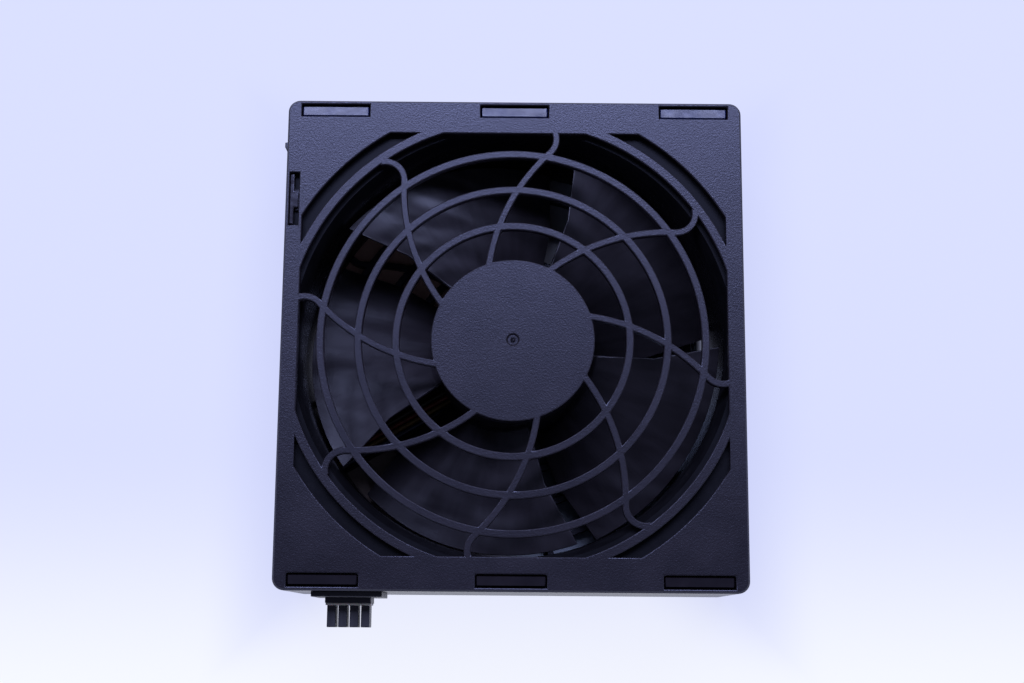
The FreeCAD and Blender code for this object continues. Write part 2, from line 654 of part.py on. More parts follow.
def round_part(label, radius, low, height):
    """A cylinder on the axis whose sizes are expressions on the sheet."""
    part = document.addObject("Part::Cylinder", label)
    part.setExpression("Radius", cells(radius))
    part.setExpression("Height", cells(height))
    part.setExpression("Placement.Base.z", cells(low))
    return part


def cut(label, base, tool):
    part = document.addObject("Part::Cut", label)
    part.Base = base
    part.Tool = tool
    part.Label = label
    return part


def join(label, parts):
    whole = document.addObject("Part::MultiFuse", label)
    whole.Shapes = parts
    whole.Label = label
    return whole


def ring(label, outer, inner, low, height):
    """A plain ring on the axis, as a node of its own unless label starts with a capital."""
    outside = round_part(f"{label}_outside", outer, low, height)
    inside = round_part(f"{label}_inside", inner, low, height)
    part = cut(label, outside, inside)
    if label[0].islower():
        nodes.append(part)
    return part


def block(label, long, wide, tall, across, up, low, turned=0.0):
    """A box centred on (across, up) before it is turned about the axis."""
    part = document.addObject("Part::Box", label)
    part.setExpression("Length", cells(long))
    part.setExpression("Width", cells(wide))
    part.setExpression("Height", cells(tall))
    part.Placement = FreeCAD.Placement(Vector(0, 0, 0), FreeCAD.Rotation(Z_AXIS, turned))
    document.recompute()
    corner = Vector(across - part.Length.Value / 2, up - part.Width.Value / 2, 0)
    part.Placement.Base = part.Placement.Rotation.multVec(corner)
    part.setExpression("Placement.Base.z", cells(low))
    return part


def bearing(label, low):
    """A shielded ball bearing: the ring held in the tube, and the ring that turns with the shaft."""
    outer = ring(f"Ring_{label}", "bearing_radius", "bearing_radius - bearing_wall", low, "bearing_tall")
    shields = [
        ring(f"Shield_{label}_{side}", "bearing_radius", "shield_radius", level, "shield_thick")
        for side, level in enumerate((low, f"{low} + bearing_tall - shield_thick"))
    ]
    nodes.append(join(f"{label}_outer_ring", [outer] + shields))
    ring(f"{label}_inner_ring", "inner_ring", "shaft_radius", low, "bearing_tall")


def stator():
    """Laminated core with four toothed poles, the bobbin that insulates it, and a coil on each pole."""
    hub = ring("Core_hub", "core_ring", "tube_radius", "core_low", "core_tall")
    rim = ring("Core_rim", "core_radius", "core_radius - shoe_wall", "core_low", "core_tall")
    slots = [
        block(f"Core_slot_{pole}", "core_radius", "pole_gap", "core_tall + 2 * overrun",
              size["core_radius"], 0, "core_low - overrun", 360 / TEETH * (pole + 0.5))
        for pole in range(TEETH)
    ]
    shoes = cut("Core_shoes", rim, join("Core_slots", slots))
    teeth = [
        block(f"Core_tooth_{pole}", "core_radius - core_ring", "tooth_wide", "core_tall",
              size["tooth_middle"], 0, "core_low", 360 / TEETH * pole)
        for pole in range(TEETH)
    ]
    nodes.append(join("stator_core", [hub, shoes] + teeth))

    for side, level in (("lower", "core_low - bobbin_thick"), ("upper", "core_low + core_tall")):
        collar = ring(f"Bobbin_{side}_collar", "core_ring", "tube_radius", level, "bobbin_thick")
        arms = [
            block(f"Bobbin_{side}_arm_{pole}", "core_radius - core_ring", "tooth_wide", "bobbin_thick",
                  size["tooth_middle"], 0, level, 360 / TEETH * pole)
            for pole in range(TEETH)
        ]
        nodes.append(join(f"{side}_bobbin", [collar] + arms))

    coils = []
    for pole in range(TEETH):
        turned = 360 / TEETH * pole
        body = block(f"Coil_body_{pole}", "coil_long", "tooth_wide + 2 * coil_thick",
                     "core_tall + 2 * bobbin_thick + 2 * coil_over", size["coil_middle"], 0,
                     "core_low - bobbin_thick - coil_over", turned)
        hole = block(f"Coil_hole_{pole}", "coil_long + 2 * overrun", "tooth_wide + 2 * coil_play",
                     "core_tall + 2 * bobbin_thick + 2 * coil_play", size["coil_middle"], 0,
                     "core_low - bobbin_thick - coil_play", turned)
        coils.append(cut(f"Coil_{pole}", body, hole))
    windings = document.addObject("Part::Compound", "stator_windings")
    windings.Links = coils
    windings.Label = "stator_windings"
    nodes.append(windings)


def electronics():
    """The circuit board under the rotor, with its driver chip, Hall sensor and capacitor."""
    ring("circuit_board", "board_radius", "tube_radius + board_play", "board_low", "board_thick")
    top = "board_low + board_thick"
    nodes.append(block("driver_chip", "chip_long", "chip_wide", "chip_tall", size["chip_line"], 0, top, 60))
    nodes.append(block("hall_sensor", "hall_long", "hall_wide", "chip_tall", size["hall_line"], 0, top, 135))
    can = round_part("board_capacitor", "can_radius", top, "can_tall")
    can.Placement.Base.x, can.Placement.Base.y = polar(size["can_line"], 285)
    nodes.append(can)


# --- the rotor ----------------------------------------------------------------------------------------

def blade_lines(side):
    """Chord lines of one skin of a blade, from root to tip; side is +1 front or -1 back."""
    steps = 4
    lines = []
    for part_way in (0.0, 0.5, 1.0):
        radius = size["blade_root"] + (size["blade_tip"] - size["blade_root"]) * part_way
        reach = max(0.0, (radius - size["base_radius"]) / (size["blade_tip"] - size["base_radius"]))
        front = size["blade_front"] + size["blade_sweep"] * reach**1.5
        high = size["blade_high"] - size["blade_droop"] * reach
        fall = high - size["blade_low"]
        wrap = math.radians(size["blade_span"])
        slope = math.atan2(fall, radius * wrap)
        points = []
        for step in range(steps + 1):
            chord = step / steps
            thick = size["blade_edge"] + (size["blade_thick"] - size["blade_edge"]) * 4 * chord * (1 - chord)
            thick *= 1 - size["blade_thinning"] * reach
            turn = math.radians(front) - wrap * chord - side * thick / 2 * math.sin(slope) / radius
            height = high - fall * chord + side * thick / 2 * math.cos(slope)
            points.append(Vector(radius * math.cos(turn), radius * math.sin(turn), height))
        line = Part.BSplineCurve()
        line.interpolate(points)
        lines.append(line.toShape())
    return lines


def blade_solid():
    """Two twisted skins, ruled from chord line to chord line, closed along the edges, root and tip."""
    front, back = blade_lines(1), blade_lines(-1)
    faces = [Part.makeRuledSurface(front[0], back[0]), Part.makeRuledSurface(front[-1], back[-1])]
    for inner in range(len(front) - 1):
        outer = inner + 1
        faces.append(Part.makeRuledSurface(front[inner], front[outer]))
        faces.append(Part.makeRuledSurface(back[inner], back[outer]))
        for end in (0, -1):
            across = [
                Part.makeLine(front[row].Vertexes[end].Point, back[row].Vertexes[end].Point)
                for row in (inner, outer)
            ]
            faces.append(Part.makeRuledSurface(*across))
    skin = Part.makeShell(faces)
    skin.sewShape()
    solid = Part.makeSolid(Part.Shell(skin.Faces))
    if solid.Volume < 0:
        solid.reverse()
    return solid


def rotor():
    """Five wide blades on a closed hub, over the steel yoke with its magnet, on a 3 mm shaft."""
    hub_inner = "base_radius - rim_wall"
    shell = round_part("Hub_outside", "base_radius", "hub_low", "hub_high - hub_low")
    hollow = round_part("Hub_hollow", hub_inner, "hub_low - overrun",
                        "hub_high - hub_nose - hub_low + overrun")
    hub = cut("Hub", shell, hollow)
    bevelled = document.addObject("Part::Chamfer", "Hub_bevelled")
    bevelled.Base = hub
    document.recompute()
    nose = [k for k, edge in enumerate(hub.Shape.Edges, 1)
            if edge.BoundBox.ZMin > size["hub_high"] - 0.01]
    bevelled.Edges = [(k, size["nose_bevel"], size["nose_bevel"]) for k in nose]
    blades = []
    for number in range(BLADES):
        blade = document.addObject("Part::Feature", f"Blade_{number + 1}")
        blade.Shape = blade_solid()
        blade.Placement = FreeCAD.Placement(Vector(), FreeCAD.Rotation(Z_AXIS, 360 / BLADES * number))
        blades.append(blade)
    nodes.append(join("impeller", [bevelled] + blades))

    yoke_top = "hub_high - hub_nose"
    cup = round_part("Yoke_outside", hub_inner, "yoke_low", f"{yoke_top} - yoke_low")
    space = round_part("Yoke_space", f"{hub_inner} - yoke_wall", "yoke_low - overrun",
                       f"{yoke_top} - yoke_wall - yoke_low + overrun")
    eye = round_part("Yoke_eye", "shaft_radius", "yoke_low", "hub_high")
    nodes.append(cut("rotor_yoke", cup, join("Yoke_cutters", [space, eye])))
    ring("magnet_ring", f"{hub_inner} - yoke_wall", f"{hub_inner} - yoke_wall - magnet_wall",
         "magnet_low", "magnet_tall")
    ring("shaft_boss", "boss_radius", "shaft_radius", "tube_top + boss_gap",
         f"{yoke_top} - yoke_wall - tube_top - boss_gap")
    ring("preload_washer", "washer_radius", "shaft_radius", "bearing_high + bearing_tall",
         "tube_top + boss_gap - bearing_high - bearing_tall")

    rod = round_part("Shaft_rod", "shaft_radius", "shaft_low", f"{yoke_top} - shaft_low")
    groove = ring("Shaft_groove", "shaft_radius + overrun", "shaft_radius - clip_deep",
                  "bearing_low - clip_groove", "clip_groove")
    nodes.append(cut("shaft", rod, groove))
    clip = ring("Clip_ring", "shaft_radius + clip_proud", "shaft_radius - clip_deep",
                "bearing_low - (clip_groove + clip_thick) / 2", "clip_thick")
    mouth = block("Clip_mouth", "2 * shaft_radius", "clip_mouth", "4 * clip_thick", size["shaft_radius"], 0,
                  "bearing_low - 3 * clip_thick")
    nodes.append(cut("retaining_clip", clip, mouth))


# --- the plug and its leads ---------------------------------------------------------------------------

def silo_middle(number):
    return f"plug_across + ({number} - {(WAYS - 1) / 2}) * silo_pitch"


def plug():
    """Flanged housing snapped into the lower wall, with four open silos, a retainer and contacts."""
    body = new_body("connector_housing")
    low = "plug_level - plug_deep / 2"
    sketch = new_sketch(body, "XZ_Plane", "plug_back")
    rectangle(sketch, "plug_across - plug_long / 2", low, "plug_long", "plug_deep")
    pad(body, sketch, "plug_front - plug_back")
    sketch = new_sketch(body, "XZ_Plane", "case_height / 2")
    rectangle(sketch, "plug_across - plug_flange_long / 2", "plug_level - plug_flange_deep / 2",
              "plug_flange_long", "plug_flange_deep")
    pad(body, sketch, "plug_flange_thick")
    sketch = new_sketch(body, "XZ_Plane", "plug_front - overrun")
    for number in range(WAYS):
        rectangle(sketch, f"{silo_middle(number)} - silo_wide / 2", "plug_level - silo_deep / 2",
                  "silo_wide", "silo_deep")
    pad(body, sketch, "silo_end - plug_front + overrun")
    sketch = new_sketch(body, "XZ_Plane", "case_height / 2 - wall - fit_gap - plug_snap_thick")
    rectangle(sketch, "plug_across - plug_snap_long / 2", f"{low} - plug_snap_proud",
              "plug_snap_long", "plug_deep + 2 * plug_snap_proud")
    pad(body, sketch, "plug_snap_thick")
    for number in range(WAYS):
        sketch = new_sketch(body, "XZ_Plane", "plug_back")
        circle(sketch, "lead_radius + lead_play", silo_middle(number), "plug_level")
        pocket(body, sketch, "cavity_start + overrun")
    sketch = new_sketch(body, "XZ_Plane", "plug_back + cavity_start")
    for number in range(WAYS):
        rectangle(sketch, f"{silo_middle(number)} - cavity_wide / 2", "plug_level - cavity_deep / 2",
                  "cavity_wide", "cavity_deep")
    pocket(body, sketch, "silo_end - plug_back - cavity_start")

    plate = new_body("terminal_retainer")
    sketch = new_sketch(plate, "XZ_Plane", "plug_front")
    rectangle(sketch, "plug_across - plug_long / 2 + retainer_play", "plug_level - retainer_deep / 2",
              "plug_long - 2 * retainer_play", "retainer_deep")
    for number in range(WAYS):
        rectangle(sketch, f"{silo_middle(number)} - silo_wide / 2", "plug_level - silo_deep / 2",
                  "silo_wide", "silo_deep")
    pad(plate, sketch, "retainer_thick")

    contacts = []
    wide, deep = size["contact_wide"], size["contact_deep"]
    slot_wide, slot_deep = size["contact_slot"], size["contact_open"]
    back = -size["plug_back"] - size["cavity_start"]
    front = -size["silo_end"] + size["contact_short"]
    for number in range(WAYS):
        across = size["plug_across"] + (number - (WAYS - 1) / 2) * size["silo_pitch"]
        corner = Vector(across - wide / 2, front, size["plug_level"] - deep / 2)
        slot_corner = Vector(across - slot_wide / 2, front, size["plug_level"] - slot_deep / 2)
        contact = Part.makeBox(wide, back - front, deep, corner)
        contacts.append(contact.cut(Part.makeBox(slot_wide, size["contact_reach"], slot_deep, slot_corner)))
    terminals = document.addObject("Part::Feature", "connector_terminals")
    terminals.Shape = Part.makeCompound(contacts)
    terminals.Label = "connector_terminals"
    nodes.append(terminals)


def lead_points(number):
    """The route of one lead: along its strut, out of the barrel, up the corner and into the plug."""
    side = number - (len(LEADS) - 1) / 2
    pitch, level = size["lead_pitch"], size["lead_level"]
    angle = size["duct_angle"]
    start = Vector(*polar(15.5, angle), level)
    knee = Vector(*polar(62.5, angle), level)
    across = Vector(*polar(1.0, angle + 90), 0)
    mitre = Vector(*polar(1.0 / math.cos(math.radians(30)), angle + 120), 0)
    right = Vector(1, 0, 0)
    plug_at = size["plug_across"]
    return [
        start + across * (side * pitch),
        knee + mitre * (side * pitch),
        Vector(knee.x, -46.0, level) + right * (side * pitch),
        Vector(knee.x + 2.0, -53.5, level + 7.0) + right * (side * pitch * 1.1),
        Vector(plug_at - 4.5, -54.5, 22.5) + right * (side * pitch * 1.5),
        Vector(plug_at, -55.0, size["plug_level"]) + right * (side * size["silo_pitch"]),
        Vector(plug_at, -size["plug_back"] - size["cavity_start"], size["plug_level"])
        + right * (side * size["silo_pitch"]),
    ]


def rounded_path(points):
    """Straight runs joined by tangent arcs, each as large as its two runs allow."""
    edges, radii = [], []
    at = points[0]
    for before, corner, after in zip(points, points[1:], points[2:]):
        into = (corner - before).normalize()
        out = (after - corner).normalize()
        shorter = min((corner - before).Length, (after - corner).Length)
        turn = into.getAngle(out)
        reach = 0.45 * shorter
        radii.append(reach / math.tan(turn / 2))
        start, end = corner - into * reach, corner + out * reach
        middle_line = (out - into).normalize()
        middle = corner + middle_line * (radii[-1] / math.cos(turn / 2) - radii[-1])
        edges.append(Part.LineSegment(at, start).toShape())
        edges.append(Part.Arc(start, middle, end).toShape())
        at = end
    edges.append(Part.LineSegment(at, points[-1]).toShape())
    return Part.Wire(edges), radii


def lead_section(start, heading):
    """A lead's section, square to heading: a many-sided wire round the start point."""
    turn = FreeCAD.Rotation(Z_AXIS, heading)
    corners = [
        start + turn.multVec(Vector(*polar(size["lead_radius"], 360 / LEAD_SIDES * corner), 0))
        for corner in range(LEAD_SIDES + 1)
    ]
    return Part.makePolygon(corners)


def leads():
    for number, colour in enumerate(LEADS):
        points = lead_points(number)
        path, radii = rounded_path(points)
        section = lead_section(points[0], points[1] - points[0])
        tube = path.makePipeShell([section], True, False)
        lead = document.addObject("Part::Feature", f"lead_{colour}")
        lead.Shape = tube
        lead.Label = f"lead_{colour}"
        nodes.append(lead)
        expected = Part.Face(section).Area * path.Length
        print(f"lead_{colour}: {path.Length:.1f} mm, radii {[round(r, 1) for r in radii]}, "
              f"volume {tube.Volume / expected:.4f} of section x length")


# --- building, checking and writing -------------------------------------------------------------------

def owner(item):
    group = item.getParentGeoFeatureGroup()
    return group.Label if group else "the document"


def check(objects):
    """Stops on a failed object, a cut that removes nothing, or a node that is not valid solids."""
    for item in objects:
        if "Invalid" in item.State or "Error" in item.State:
            raise RuntimeError(f"{item.Label} of {owner(item)} failed: {item.State}")
        if item.TypeId in ("PartDesign::Pocket", "PartDesign::Groove"):
            if item.Shape.Volume > item.BaseFeature.Shape.Volume - 1e-3:
                raise RuntimeError(f"{item.Label} of {owner(item)} cuts nothing")
    for node in nodes:
        shape = node.Shape
        if shape.isNull() or not shape.isValid() or not shape.Solids:
            raise RuntimeError(f"{node.Label} has no valid solid")


front_shell()
rear_shell()
side_latch()
fan_frame()
bearing("lower_bearing", "bearing_low")
bearing("upper_bearing", "bearing_high")
stator()
electronics()
rotor()
plug()
leads()
document.recompute()
check(document.Objects)

os.makedirs("parts", exist_ok=True)
for node in nodes:
    node.Shape.exportStep(f"parts/{node.Label}.step")
    print(f"{node.Label}: {len(node.Shape.Solids)} solid(s), {node.Shape.Volume / 1000:.3f} cm3")
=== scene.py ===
import math

import bmesh
import bpy
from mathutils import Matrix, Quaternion, Vector


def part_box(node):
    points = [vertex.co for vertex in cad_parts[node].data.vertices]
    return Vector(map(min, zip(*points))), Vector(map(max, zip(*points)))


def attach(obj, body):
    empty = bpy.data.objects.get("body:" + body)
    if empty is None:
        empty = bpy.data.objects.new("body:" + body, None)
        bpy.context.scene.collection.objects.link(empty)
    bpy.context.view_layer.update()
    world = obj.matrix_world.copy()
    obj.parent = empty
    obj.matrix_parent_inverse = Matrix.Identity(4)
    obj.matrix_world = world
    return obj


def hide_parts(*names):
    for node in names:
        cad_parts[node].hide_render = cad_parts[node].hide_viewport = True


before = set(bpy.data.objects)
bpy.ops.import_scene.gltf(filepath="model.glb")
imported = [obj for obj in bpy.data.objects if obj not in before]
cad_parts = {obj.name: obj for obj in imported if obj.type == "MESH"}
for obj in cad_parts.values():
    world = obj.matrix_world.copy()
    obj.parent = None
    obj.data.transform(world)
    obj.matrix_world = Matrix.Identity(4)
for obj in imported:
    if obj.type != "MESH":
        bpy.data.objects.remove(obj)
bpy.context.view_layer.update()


# --- Case -------------------------------------------------------------------------------------------
# Two grille shells that snap together round the fan, and the latch in the left wall, of black ABS. They
# are moulded with soft edges and a spark-eroded face. Each is its CAD solid, welded into one skin, with
# its edges rounded.

class Signal:
    """A socket of a material's node tree. Arithmetic on it adds Math nodes, node() adds any other."""

    def __init__(self, tree, socket):
        self.tree = tree
        self.socket = socket

    def node(self, kind, inputs, output=0, **settings):
        """A new node whose inputs, by name or number, are signals or plain values."""
        node = self.tree.nodes.new(kind)
        for name, value in settings.items():
            setattr(node, name, value)
        for name, value in inputs.items():
            if isinstance(value, Signal):
                self.tree.links.new(value.socket, node.inputs[name])
            else:
                node.inputs[name].default_value = value
        return Signal(self.tree, node.outputs[output])

    def math(self, operation, *others):
        return self.node("ShaderNodeMath", dict(enumerate((self, *others))), operation=operation)

    def __add__(self, other):
        return self.math("ADD", other)

    def __sub__(self, other):
        return self.math("SUBTRACT", other)

    def __mul__(self, other):
        return self.math("MULTIPLY", other)

    def __truediv__(self, other):
        return self.math("DIVIDE", other)

    def __rsub__(self, other):
        return (self * -1) + other

    def __rtruediv__(self, other):
        return self.math("POWER", -1.0) * other

    __radd__ = __add__
    __rmul__ = __mul__

    def noise(self, scale, detail=2.0, roughness=0.5):
        return self.node("ShaderNodeTexNoise", {"Vector": self, "Scale": scale, "Detail": detail,
                                                "Roughness": roughness})

    def ramp(self, low, high, start=0.0, end=1.0):
        """This signal from low..high, smoothly, to start..end."""
        return self.node("ShaderNodeMapRange", {"Value": self, "From Min": low, "From Max": high,
                                                "To Min": start, "To Max": end},
                         interpolation_type="SMOOTHSTEP")

    def blend(self, colour_a, colour_b):
        """Two colours mixed by this signal; either may itself be a signal."""
        colours = [colour if isinstance(colour, Signal) else (*colour, 1)
                   for colour in (colour_a, colour_b)]
        return self.node("ShaderNodeMix", {"Factor": self, 6: colours[0], 7: colours[1]}, output=2,
                         data_type="RGBA")

    def axes(self):
        """The three coordinates of a point, each as a signal."""
        split = self.node("ShaderNodeSeparateXYZ", {0: self}).socket.node
        return [Signal(self.tree, output) for output in split.outputs]

    def polar(self):
        """Angle, radius and height about the fan's axis, each as a signal."""
        x, y, z = self.axes()
        return y.math("ARCTAN2", x), (x * x + y * y).math("SQRT"), z

    def vector(self, *axes):
        return self.node("ShaderNodeCombineXYZ", dict(enumerate(axes)))


def finish(name, **values):
    """A Principled material: returns it, its shader and its Object coordinates."""
    material = bpy.data.materials.new(name)
    material.use_nodes = True
    tree = material.node_tree
    shader = tree.nodes["Principled BSDF"]
    for socket, value in values.items():
        shader.inputs[socket.replace("_", " ")].default_value = value
    coordinates = tree.nodes.new("ShaderNodeTexCoord")
    return material, shader, Signal(tree, coordinates.outputs["Object"])


def coat(shader, colour=None, roughness=None, metallic=None, bump=None, depth=0.00003, strength=1.0,
         gloss=None):
    """Plugs the varying signals into a Principled shader."""
    tree = shader.id_data
    for socket, signal in (("Base Color", colour), ("Roughness", roughness), ("Metallic", metallic),
                           ("Coat Weight", gloss)):
        if signal is not None:
            tree.links.new(signal.socket, shader.inputs[socket])
    if bump is not None:
        normal = bump.node("ShaderNodeBump", {"Height": bump, "Distance": depth, "Strength": strength})
        tree.links.new(normal.socket, shader.inputs["Normal"])


def case_plastic(name, tongues=False):
    """Spark-eroded face; the rear shell's tongues were moulded against polished steel, the upper row with
    painted sheen.
    """
    material, shader, place = finish(name, Specular_IOR_Level=0.62, Specular_Tint=(0.575, 0.625, 1.0, 1))
    grain = place.noise(2200, 3, 0.65)
    pits = place.node("ShaderNodeTexVoronoi", {"Vector": place, "Scale": 3000.0}, feature="SMOOTH_F1")
    cloud = place.noise(90, 4, 0.6)
    handled = place.noise(26, 5, 0.65).ramp(0.5, 0.75)
    rubs = place.vector(*(axis * factor for axis, factor in zip(place.axes(), (40, 900, 900))))
    rubs = rubs.noise(1.0, 2).ramp(0.62, 0.72) * place.noise(60, 3).ramp(0.55, 0.7)
    colour = cloud.ramp(0.3, 0.7).blend((0.0078, 0.0062, 0.0098), (0.0118, 0.0095, 0.0145))
    roughness = 0.285 + cloud * 0.05 - handled * 0.03 + grain * 0.08 - rubs * 0.04
    relief = grain * 0.8 + pits * 0.5
    gloss = None
    if tongues:
        y, z = place.axes()[1:]
        polish = z.ramp(0.0400, 0.0404)
        # Painted sheen: the upper row of tongues is painted blue and given a glossy coat, which the lower
        # row lacks.
        upper_row_painted_sheen = polish * y.ramp(0.0600, 0.0605)
        ripple = place.noise(240, 2)
        colour = upper_row_painted_sheen.blend(colour, (0.008, 0.013, 0.072))
        roughness = roughness * (1 - polish) + polish * (0.15 + ripple * 0.14)
        relief = relief * (1 - polish * 0.93) + polish * ripple * 2.0
        gloss = upper_row_painted_sheen * ripple.ramp(0.35, 0.6, 0.7, 1.0)
        shader.inputs["Coat Roughness"].default_value = 0.29
    coat(shader, colour, roughness, bump=relief, depth=0.00006, strength=0.8, gloss=gloss)
    return material


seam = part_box("front_shell")[0].z
seam_reach = 0.00002
gentle_turn, sharp_turn = 32, 58  # degrees between two facets


def rounded(node, name, width, body, material, inner=1.0, sharp_above=1.0):
    """A CAD node's copy with rounded edges, which stands for the node. Upright inner corners, where
    bars cross, are filleted inner times as far. Edges on the shells' seam or above sharp_above stay."""
    mesh = bmesh.new()
    mesh.from_mesh(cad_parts[node].data)
    bmesh.ops.remove_doubles(mesh, verts=mesh.verts, dist=0.000002)
    weight = mesh.edges.layers.float.new("bevel_weight_edge")
    for face in mesh.faces:
        face.smooth = True
    for edge in mesh.edges:
        if len(edge.link_faces) != 2:
            continue
        turn = math.degrees(edge.calc_face_angle_signed(0.0))
        edge.smooth = abs(turn) < gentle_turn
        heights = [vertex.co.z for vertex in edge.verts]
        free = all(abs(height - seam) > seam_reach for height in heights) and min(heights) <= sharp_above
        if abs(turn) > sharp_turn and free:
            upright = abs((edge.verts[0].co - edge.verts[1].co).normalized().z) > 0.99
            edge[weight] = 1.0 if upright and turn < 0 else 1.0 / inner
    data = bpy.data.meshes.new(name)
    mesh.to_mesh(data)
    mesh.free()
    piece = bpy.data.objects.new(name, data)
    bpy.context.collection.objects.link(piece)
    data.materials.append(material)
    soft = piece.modifiers.new("Rounded edges", "BEVEL")
    soft.width = width * inner
    soft.segments = 2
    soft.limit_method = "WEIGHT"
    soft.use_clamp_overlap = False
    soft.miter_outer = "MITER_SHARP"
    flats = piece.modifiers.new("Flat faces", "WEIGHTED_NORMAL")
    flats.mode = "FACE_AREA"
    flats.weight = 100
    flats.keep_sharp = True
    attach(piece, body)
    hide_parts(node)
    return piece


for shell, has_tongues, crossings in (("front_shell", False, 2.6), ("rear_shell", True, 1.0)):
    rounded(shell, f"{shell}_moulding", 0.00027, "module",
            case_plastic(f"{shell}_plastic", has_tongues), inner=crossings)
rounded("side_latch", "side_latch_moulding", 0.00025, "latch",
        case_plastic("side_latch_plastic"))


# --- Fan frame --------------------------------------------------------------------------------------
# Square frame with the barrel, the struts and the motor's base, held between the two shells. It is one
# moulding of satin black PBT: flow lines run round the barrel, and the wall that the blades pass is the
# smoothest.

def frame_plastic():
    material, shader, place = finish("frame_plastic", Specular_IOR_Level=0.115,
                                     Specular_Tint=(0.60, 0.65, 1.0, 1))
    angle, radius, height = place.polar()
    flow = place.vector(angle * 3, radius * 60, height * 220).noise(3.0, 4, 0.6)
    scores = place.vector(angle * 0.7, radius * 300, height * 2400).noise(1.0, 2)
    wall = radius.ramp(0.0562, 0.0566) * (1 - radius.ramp(0.0576, 0.0580))
    grain = place.noise(1800, 2)
    dust = place.noise(420, 4, 0.7).ramp(0.62, 0.78)
    colour = flow.ramp(0.35, 0.7).blend((0.0036, 0.0036, 0.0056), (0.0060, 0.0060, 0.0092))
    colour = (dust * 0.35).blend(colour, (0.030, 0.028, 0.030))
    coat(shader, colour, 0.34 + flow * 0.12 + grain * 0.05 + dust * 0.2 - wall * 0.16,
         bump=flow * 0.6 + grain * 0.25 + wall * scores * 0.25, depth=0.00003)
    return material


rounded("fan_frame", "fan_frame_moulding", 0.0003, "module", frame_plastic(),
        sharp_above=0.0402)


# --- Impeller ---------------------------------------------------------------------------------------
# Hub and five twisted blades, one moulding of black PBT on the rotor's yoke. The melt flowed outwards
# from the hub, which leaves faint streaks and soft waves along the span, and the skins have a low sheen.

def impeller_plastic():
    material, shader, place = finish("impeller_plastic", Specular_IOR_Level=0.60,
                                     Specular_Tint=(0.66, 0.71, 1.0, 1))
    angle, radius, height = place.polar()
    blade = radius.ramp(0.0215, 0.0235)
    streaks = place.vector(angle * 9, radius * 26, height * 10).noise(1.6, 3, 0.6)
    x, y, z = place.axes()
    folds = place.vector(x * 42, y * 120 + x * 25, z * 60).noise(1.0, 1, 0.3)
    hatch = place.vector(angle * 160, radius * 40, height * 20).noise(1.6, 2)
    bands = place.vector(angle * 1.6, radius * 110, height * 60).noise(1.1, 2, 0.4)
    grain = place.noise(1500, 3, 0.6)
    colour = streaks.ramp(0.35, 0.7).blend((0.0135, 0.0118, 0.0185), (0.0195, 0.0175, 0.0275))
    waves = streaks * 0.25 + bands * 1.4 + folds * 6.5 + hatch * 0.03
    coat(shader, colour, 0.33 + streaks * 0.12 + bands * 0.08 + (1 - blade) * 0.04,
         bump=blade * waves + (1 - blade) * grain * 0.2, depth=0.00024)
    return material


rounded("impeller", "impeller_moulding", 0.00012, "rotor", impeller_plastic())


# --- Plug -------------------------------------------------------------------------------------------
# Plug body with its flange and four silos, fixed in the lower wall of the case. It is of black nylon,
# moulded smooth and a little glossy, with flow lines along the insertion and rub marks near the mouths.

def plug_plastic():
    material, shader, place = finish("plug_plastic", Specular_IOR_Level=0.75,
                                     Specular_Tint=(0.66, 0.70, 1.0, 1))
    x, y, z = place.axes()
    flow = place.vector(x * 500, y * 60, z * 500).noise(1.0, 3)
    grain = place.noise(1700, 2)
    rubs = place.vector(x * 3000, y * 120, z * 900).noise(1.0, 2).ramp(0.6, 0.7) * y.ramp(-0.0705, -0.0725)
    colour = flow.ramp(0.3, 0.7).blend((0.0090, 0.0080, 0.0108), (0.0145, 0.0130, 0.0175))
    coat(shader, colour, 0.36 + flow * 0.14 + rubs * 0.15 + grain * 0.04,
         bump=flow * 0.4 + grain * 0.2 + rubs * 0.3, depth=0.00004)
    return material


rounded("connector_housing", "plug_moulding", 0.0002, "module", plug_plastic())


# --- Terminal retainer ------------------------------------------------------------------------------
# Thin comb across the plug that locks its terminals, moulded of natural white nylon. The nylon is waxy,
# lets some light through, and has picked up a little dirt.

def natural_nylon(name):
    material, shader, place = finish(name, Specular_IOR_Level=0.45, Subsurface_Weight=0.2,
                                     Subsurface_Scale=0.0006)
    cloud = place.noise(300, 4, 0.6)
    grain = place.noise(1500, 2)
    soil = place.noise(900, 4, 0.7).ramp(0.6, 0.75)
    colour = cloud.ramp(0.3, 0.7).blend((0.78, 0.77, 0.76), (0.88, 0.87, 0.86))
    coat(shader, (soil * 0.2).blend(colour, (0.42, 0.38, 0.31)), 0.36 + cloud * 0.12 + soil * 0.2,
         bump=grain * 0.5 + cloud * 0.5, depth=0.00003)
    return material


rounded("terminal_retainer", "retainer_moulding", 0.00012, "module",
        natural_nylon("retainer_nylon"))


# --- Leads ------------------------------------------------------------------------------------------
# Four leads, soldered to the circuit board, which run through the strut's channel and the corner of the
# case to the plug. Their insulation is extruded PVC, satin and finely grained, its colours painted
# darker as painted shade, with dark patches that are partly dust and partly painted shade.

def insulation(name, dark, light):
    material, shader, place = finish(name, Specular_IOR_Level=0.5)
    lines = place.noise(3500, 2)
    # Dark patches, partly dust and partly painted shade.
    grime_and_painted_shade = place.noise(500, 4, 0.65).ramp(0.5, 0.72)
    colour = place.noise(160, 3).ramp(0.3, 0.7).blend(dark, light)
    coat(shader, (grime_and_painted_shade * 0.5).blend(colour, (0.030, 0.026, 0.024)), 0.38 + grime_and_painted_shade * 0.25 + lines * 0.08,
         bump=lines * 0.5 + grime_and_painted_shade * 0.5, depth=0.00002)
    return material


def heading(degrees):
    """A level unit vector at this angle round the fan's axis."""
    turn = math.radians(degrees)
    return Vector((math.cos(turn), math.sin(turn), 0))
